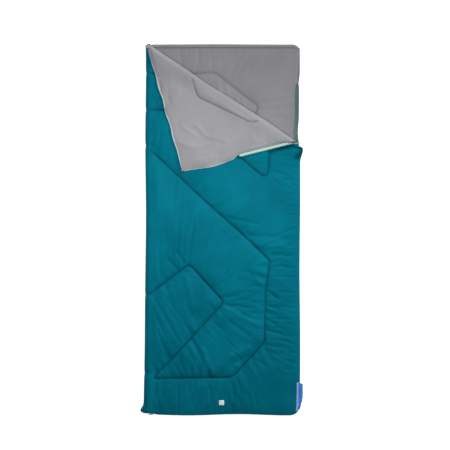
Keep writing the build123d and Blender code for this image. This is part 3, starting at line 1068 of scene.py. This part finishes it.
def tube(name, path, wide, high, material, ring=10, ribs=0.0, rib_pitch=0.0145):
    """An oval cord along a nearly level path, with slanted ribs where it has them, and painted shade in the
    troughs between the ribs.
    """
    ahead = heading(path[:, :2])
    across = np.stack([-ahead[:, 1], ahead[:, 0], np.zeros(len(ahead))], -1)
    lengths = lengths_along(path)
    turn = np.linspace(0, 2 * math.pi, ring, endpoint=False)
    ends = np.minimum(lengths, lengths[-1] - lengths)
    cap = (0.15 + 0.85 * lip(ends, max(wide, high)))[:, None]
    phase = lengths[:, None] / rib_pitch + 0.45 * np.cos(turn)[None]
    bump = ribs * (np.abs(np.sin(math.pi * phase)) ** 0.6 - 0.7)
    side = (wide * np.cos(turn))[None] * cap
    lift = ((high + bump) * np.sin(turn)[None]) * cap
    points = path[:, None] + across[:, None] * side[..., None] + UP * lift[..., None]
    faces = []
    for k in range(len(path) - 1):
        for m in range(ring):
            a, b = k * ring + m, k * ring + (m + 1) % ring
            faces.append((a, b, b + ring, a + ring))
    faces.append(tuple(range(ring))[::-1])
    faces.append(tuple(range((len(path) - 1) * ring, len(path) * ring)))
    piece = add_mesh(name, points.reshape(-1, 3), faces, material)
    # Painted shade: the troughs between the ribs are painted darker, standing in for the shadow there.
    if ribs:
        set_painted_shade(piece, 0.95 * (1 - np.abs(np.sin(math.pi * phase))) ** 1.3)
    return piece


def coil(name, path, r, pitch, material, wire=0.42 * MM):
    """A zip half's coil: wire wound round a path."""
    lengths = lengths_along(path)
    reach = np.arange(0, lengths[-1], pitch / 8)
    middle = np.stack([np.interp(reach, lengths, path[:, k]) for k in range(3)], -1)
    ahead = heading(middle)
    across = np.cross(ahead, (0, 0, 1))
    across /= np.linalg.norm(across, axis=1)[:, None]
    turn = 2 * math.pi * reach[:, None] / pitch
    outwards = across * np.cos(turn) + np.cross(across, ahead) * np.sin(turn)
    rings = []
    for angle in (0.0, math.pi / 2, math.pi, 1.5 * math.pi):
        rings.append(middle + outwards * (r + wire * math.cos(angle)) + ahead * wire * math.sin(angle))
    i = np.arange(len(reach) * 4).reshape(-1, 4)
    n = np.roll(i, -1, 1)
    quads = np.stack([i[:-1], n[:-1], n[1:], i[1:]], -1).reshape(-1, 4)
    return add_mesh(name, np.stack(rings, 1).reshape(-1, 3), quads, material)


# ---- Quilting stitches ----
def within(routes, inside_now):
    """Cuts routes down to the stretch that shows."""
    kept = []
    for route in routes:
        fine = [np.linspace(a, b, 12)[:-1] for a, b in zip(route, route[1:])]
        spots = np.concatenate(fine + [route[-1:]])
        spots = spots[inside_now(spots[:, 0], spots[:, 1])]
        if len(spots) > 2:
            kept.append(spots)
    return kept


cover_rows = within(COVER_SEAMS, lambda x, y: (x > FOLD_X + 0.002) & (y < crease_y(x) - 0.01))
base_rows = within(BASE_SEAMS, lambda x, y: x > FOLD_X + 0.002)
flap_rows = within([FLAP_SEAM], lambda x, y: y < crease_y(x) - 0.004)
sewn(add_stitches("cover_quilting", cover_rows, on_cover, THREAD), "cover_stitching", "top_quilt")
sewn(add_stitches("base_quilting", base_rows, on_base, GREY_THREAD), "base_stitching", "base_quilt")
on_flap_bodies(sewn(add_stitches("flap_quilting", flap_rows, on_flap, GREY_THREAD), "flap_stitching"))


# ---- Head hem of the bottom quilt ----
HEM_IN_FROM = 0.015
hem_x = stations(FOLD_X + 0.006, SIDE_X - HEAD_R, STEP)


def at_head(face, inwards):
    """A face's height along the head edge, some way inside it."""
    return face(hem_x, np.full_like(hem_x, END_Y - inwards))


# The welt over the head edge, from the tuck on the lining round to the underside.
hem_middle = np.full_like(hem_x, BASE_TOP / 2)
hem_inner = at_head(base_high, HEM_IN_FROM)
hem_section = (
    (-HEM_IN_FROM, hem_inner - 0.8 * MM),
    (-0.0145, hem_inner + 0.9 * MM),
    (-0.010, at_head(base_high, 0.010) + 1.9 * MM),
    (-0.005, at_head(base_high, 0.005) + 2.0 * MM),
    (-0.001, hem_middle + 4.6 * MM),
    (0.0018, hem_middle + 1.6 * MM),
    (0.0022, hem_middle - 1.4 * MM),
    (-0.001, hem_middle - 3.4 * MM),
    (-0.009, at_head(base_low, 0.009) - 0.3 * MM),
)
hx, hy = side_shift(hem_x, np.full_like(hem_x, END_Y))
hem_rows = [np.stack([hx, hy + out_by, height.clip(0.0005, None)], -1) for out_by, height in hem_section]
add_surface(
    "head_hem_welt", np.stack(hem_rows), LINING, True, "base_hem_binding", "base_quilt",
)
tuck_row = [np.stack([hem_x, np.full_like(hem_x, END_Y - HEM_IN_FROM - 0.001)], -1)]
tuck_stitches = add_stitches("head_hem_stitches", tuck_row, on_base, GREY_THREAD, 4.6 * MM, 3.4 * MM)
sewn(tuck_stitches, None, "base_quilt")


# ---- Hem piping and zip strip of the turned corner ----
def flap_edge_point(p_now, q_now):
    ex, ey, el, eh = flap_faces(p_now, q_now)
    return np.stack([ex, ey, (el + eh) / 2], -1)


def zip_edge(u):
    """Points on the flap's zip edge, at distances from the turned corner."""
    return flap_edge_point(np.zeros_like(u), u / ZIP_SIDE)


def beside_zip(u, inwards):
    """Spots beside the zip edge's straight line: how far along it and how far in."""
    return TURNED + ZIP_LINE * u[:, None] + ZIP_IN * np.reshape(inwards, (-1, 1))


def on_edge(name, u, inwards, above, *look, **shape):
    """A cord beside the zip edge, at its height or a little above."""
    return tube(name, np.column_stack([beside_zip(u, inwards), zip_edge(u)[:, 2] + above]), *look, **shape)


hem_shares = np.linspace(0.0, WHOLE, 150)
piping_path = flap_edge_point(hem_shares, np.zeros_like(hem_shares))
piping = tube("flap_hem_piping", piping_path, 2.8 * MM, 2.1 * MM, PIPING_CLOTH)
on_flap_bodies(sewn(piping, "flap_hem_binding"))

STRIP_FROM = 0.283
ZIP_END = ZIP_SIDE * WHOLE
zip_u = np.linspace(0.004, ZIP_END, 230)
edge_path = zip_edge(zip_u)
thin = tube("flap_zip_edge", edge_path, 2.6 * MM, 1.9 * MM, PIPING_CLOTH, ring=8)
on_flap_bodies(sewn(thin))
strip_u = np.linspace(STRIP_FROM, ZIP_END, 220)
strip = on_edge(
    "flap_zip_strip", strip_u, 5.2 * MM, 1.6 * MM, 6.4 * MM, 2.4 * MM, MINT_CLOTH, ring=16, ribs=1.2 * MM
)
on_flap_bodies(sewn(strip, "flap_zip_tape"))
coil_in = np.interp(zip_u, (0.2, 0.3), (1.5 * MM, -0.8 * MM)) - zip_edge_push(zip_u) * (zip_u < STRIP_FROM)
coil_path = np.column_stack([beside_zip(zip_u, coil_in), edge_path[:, 2] - 0.8 * MM])
on_flap_bodies(sewn(coil("flap_zip_wire", coil_path, 1.0 * MM, 2.6 * MM, MINT_COIL), "flap_zip_coil"))
welt_u = np.linspace(STRIP_FROM - 0.006, ZIP_END - 0.01, 120)
welt = on_edge("flap_zip_welt", welt_u, 12.2 * MM, 0.4 * MM, 3.0 * MM, 1.5 * MM, GREEN_CLOTH)
on_flap_bodies(sewn(welt))
row = beside_zip(np.array([STRIP_FROM, ZIP_END - 0.03]), 17.5 * MM)
topstitch = add_stitches("flap_zip_topstitch", [row], on_flap, MINT_COIL, 7.0 * MM, 4.6 * MM, 0.9 * MM)
on_flap_bodies(sewn(topstitch))

# The strip's backing tape carries on round the roll's end to the cover's side edge.
TAPE_SHARE = 0.0125
across_part, turned = np.meshgrid(np.linspace(0, TAPE_SHARE, 7), np.linspace(-90, 90, 25))
dome = np.sqrt(np.clip(1 - (across_part / (TAPE_SHARE / 2) - 1) ** 2, 0, 1))
wrap = roll_surface(1.0 - across_part, turned, "outer", 0.3 * MM + 1.0 * MM * dome)
over_roll(sewn(add_grid("roll_zip_tape", wrap, GREEN_CLOTH, True)))


# ---- Zip along the side, the foot corner and the foot ----
ZIP_LEFT = corner("lower_zip_tape", 0)[0]


def zip_route(top_y, step):
    """Spots down the zip side, round the foot corner and along the foot, with the way out at each."""
    bend = np.array([SIDE_X - FOOT_R, FOOT_R - END_Y])
    side = stations(top_y, bend[1], step)[:-1]
    foot = stations(bend[0], ZIP_LEFT, step)[1:]
    turn = np.radians(np.linspace(0, -90, 15))
    round_way = np.stack([np.cos(turn), np.sin(turn)], -1)
    down = np.stack([np.full_like(side, SIDE_X), side], -1)
    across = np.stack([foot, np.full_like(foot, -END_Y)], -1)
    way = [np.tile((1.0, 0.0), (len(side), 1)), round_way, np.tile((0.0, -1.0), (len(foot), 1))]
    return np.concatenate([down, bend + FOOT_R * round_way, across]), np.concatenate(way)


def beside_edge(spots, way, out_by, height):
    """The edge's spots, moved out and set at a height."""
    moved = spots + way * np.reshape(out_by, (-1, 1))
    ex, ey = side_shift(moved[:, 0], moved[:, 1])
    return np.stack([ex, ey, np.broadcast_to(height, ex.shape)], -1)


def zip_half(label, body, cloth, coil_material, place, section):
    """A ribbon through all but the last of the section's rows, and a coil along the last one."""
    spots, way = zip_route(corner(f"{label}_zip_tape", 1)[1], 0.008)
    paths = [beside_edge(spots, way, *place(spots[:, 1], *row)) for row in section]
    add_surface(
        f"{label}_zip_ribbon", np.stack(paths[:-1]), cloth, label == "lower", f"{label}_zip_tape", body,
    )
    sewn(coil(f"{label}_zip_wire", paths[-1], 1.05 * MM, 2.6 * MM, coil_material), f"{label}_zip_coil", body)


def lower_place(y, out_by, under_cloth, drawn_in, height, opened_dip):
    """The lower half drops a little where the zip is open, and goes under the lining near the head."""
    opened = smooth((y - 0.40) / 0.03)
    rolled = smooth((y - 0.68) / 0.06)
    sunk = (4.5 * rolled + 9.0 * smooth((y - END_Y + 0.12) / 0.10)) * MM
    out = out_by - under_cloth * tape_room(y).clip(0) - drawn_in * 4.5 * MM * rolled
    return out, (height - opened_dip * opened) * MM - sunk


def upper_place(y, out_by, height, rise):
    return np.full_like(y, out_by), (height + rise * smooth((y - 0.36) / 0.03)) * MM


# Each row: how far out it lies, its shares of the two ways in, its height and its dip in millimetres.
LOWER_SECTION = (
    (-0.012, 0.8, 0, 19.5, 0.0),
    (-0.004, 0.8, 0, 19.6, 0.0),
    (-0.002, 0.3, 0, 19.9, 0.5),
    (0.0006, 0.0, 1, 20.6, 0.9),
    (0.0014, 0.0, 1, 22.4, 1.4),
    (0.0022, 0.0, 1, 22.7, 1.3),
)
# Each row: how far out it lies, its height in millimetres and its rise beside the slider.
UPPER_SECTION = (
    (-0.012, 28.1, 0.0),
    (-0.003, 28.0, 0.0),
    (0.0004, 27.4, 0.0),
    (0.0010, 26.4, 0.0),
    (0.0014, 25.4, 0.0),
    (0.0022, 25.0, 0.9),
)
zip_half("lower", "base_quilt", SAGE_CLOTH, GREEN_COIL, lower_place, LOWER_SECTION)
zip_half("upper", "top_quilt", MINT_CLOTH, MINT_COIL, upper_place, UPPER_SECTION)

# ---- Patch over the zip's blind end ----
patch_low, patch_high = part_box("zip_end_patch")
along_patch, up_patch = np.meshgrid(np.linspace(0, 1, 15), np.linspace(0, 1, 9), indexing="ij")
patch_x = patch_low[0] + along_patch * (patch_high[0] - patch_low[0])
patch_z = patch_low[2] + up_patch * (patch_high[2] - patch_low[2])
rim = np.minimum(np.minimum(along_patch, 1 - along_patch) * 3, np.minimum(up_patch, 1 - up_patch) * 1.6)
patch_back = np.stack([patch_x, np.full_like(patch_x, patch_high[1]), patch_z], -1)
patch_out = patch_back - np.array([0, 1, 0]) * (0.0006 + 0.0014 * lip(rim, 0.6))[..., None]
sewn(add_slab("zip_end_patch_cloth", patch_out, patch_back, SHELL), "zip_end_patch", "base_quilt")

# ---- Blank label at the foot ----
label_low, label_high = (corner("foot_label", k) for k in (0, 1))
label_x, label_y = np.meshgrid(*np.linspace(label_low[:2], label_high[:2], 11).T)
label_rim = np.minimum(
    np.minimum(label_x - label_low[0], label_high[0] - label_x),
    np.minimum(label_y - label_low[1], label_high[1] - label_y),
)
label_face = on_cover(label_x, label_y, 0.5 * MM + 0.5 * MM * lip(label_rim, 0.002))
label = add_slab("blank_label", on_cover(label_x, label_y, -0.3 * MM), label_face, LABEL_CLOTH)
sewn(label, "foot_label", "top_quilt")
a, b = label_low[:2] + 0.0022, label_high[:2] - 0.0022
border = np.array([a, (b[0], a[1]), b, (a[0], b[1]), a])
label_stitches = add_stitches(
    "label_stitches", [border], lambda x, y: on_cover(x, y, 0.8 * MM), LABEL_CLOTH, 2.6 * MM, 1.7 * MM,
    0.3 * MM,
)
sewn(label_stitches, None, "top_quilt")

# ---- Blue tab: the sewn strip, and the loose folded ribbon beside it ----
strip_low, strip_high = (corner("stow_tab_strip", k) for k in (0, 1))
tab_low, tab_high = (corner("stow_tab", k) for k in (0, 1))
strip_x, strip_y = np.linspace(strip_low[0], strip_high[0], 9), np.linspace(tab_low[1], strip_high[1], 60)
sx, sy = np.meshgrid(strip_x, strip_y, indexing="ij")
narrow = smooth((sy - tab_low[1]) / 0.05)
sx = strip_low[0] + (sx - strip_low[0]) * (0.55 + 0.45 * narrow)
strip_rim = lip(np.minimum(sx - sx[:1], sx[-1:] - sx), 0.0015)
strip_face = on_cover(sx, sy, 0.5 * MM + 0.5 * MM * strip_rim)
strip = add_slab("blue_tab_strip", on_cover(sx, sy, -0.2 * MM), strip_face, PALE_BLUE_CLOTH)
sewn(strip, "stow_tab_strip", "top_quilt")
out_share, tab_y = np.meshgrid(np.linspace(0, 1, 12), np.linspace(tab_low[1], tab_high[1], 70), indexing="ij")
tab_reach = 0.0035 + 0.0135 * smooth((tab_y - tab_low[1]) / 0.075)
slant = -0.006 * out_share * smooth((tab_y - tab_high[1] + 0.02) / 0.02)
tab_x = tab_low[0] + 0.0005 + out_share * tab_reach
ripple = 0.0012 * np.sin(tab_y * 95.0) * out_share
tab_top = tab_high[2] + 0.0006 - 0.0045 * out_share**2 + ripple
thick = 0.0009 + 0.0012 * lip(1 - out_share, 0.3)
loose_top = np.stack([tab_x, tab_y + slant, tab_top], -1)
loose_low = loose_top - UP * thick[..., None]
sewn(add_slab("blue_tab_loose", loose_low, loose_top, BLUE_CLOTH), "stow_tab", "stow_tab")


# ---- Floor, light and camera ----
FLOOR_REACH = 40.0


def stand(data, place, aim=None):
    """Puts a light or a camera in its place, looking straight down or at what it is aimed at."""
    made = bpy.data.objects.new(data.name, data)
    made.location = place
    if aim is not None:
        made.rotation_euler = (Vector(aim) - Vector(place)).to_track_quat("-Z", "Y").to_euler()
    scene.collection.objects.link(made)
    return made


square = ((-1, -1), (1, -1), (1, 1), (-1, 1))
floor_corners = [(across * FLOOR_REACH, along * FLOOR_REACH, -0.5 * MM) for across, along in square]
floor = add_mesh("floor", floor_corners, [(0, 1, 2, 3)], FLOOR)
sun = bpy.data.lights.new("key_light", "SUN")
sun.energy = 2.2
sun.angle = math.radians(16)
stand(sun, (0, 0, 0), (-1.0, -0.85, -0.85))
lamp = bpy.data.lights.new("top_light", "AREA")
lamp.shape = "RECTANGLE"
lamp.size, lamp.size_y = 0.5, 0.5
lamp.energy = 14.5
stand(lamp, (-0.02, 0.36, 1.3), (0.0, 0.1, 0))

# The sky is dim overhead and bright near the horizon.
world = bpy.data.worlds.new("soft_sky")
world.use_nodes = True
tree = world.node_tree
direction = add_node(tree, "TexCoord", {}).outputs["Generated"]
height = add_node(tree, "SeparateXYZ", {"Vector": direction}).outputs["Z"]
sky_span = {"Value": height, "From Min": 0.16, "From Max": 0.26, "To Min": 0.92, "To Max": 0.07}
glow = add_node(tree, "MapRange", sky_span).outputs["Result"]
set_inputs(tree, tree.nodes["Background"], {"Color": (0.97, 0.98, 1.0, 1), "Strength": glow})
scene.world = world
scene.view_settings.view_transform = "Standard"

lens = bpy.data.cameras.new("camera")
lens.lens = 85
lens.sensor_width = 36
scene.camera = stand(lens, (0.012, 0.019, 5.2))

for node, material in (
    ("slider_body", MINT_METAL),
    ("slider_bail", MINT_METAL),
    ("pull_tab", MINT_METAL),
    ("lower_top_stop", GREY_METAL),
    ("flap_top_stop", GREY_METAL),
    ("zip_end_box", GREEN_COIL),
):
    piece = frame["nodes"][node]
    piece.data.materials.clear()
    piece.data.materials.append(material)
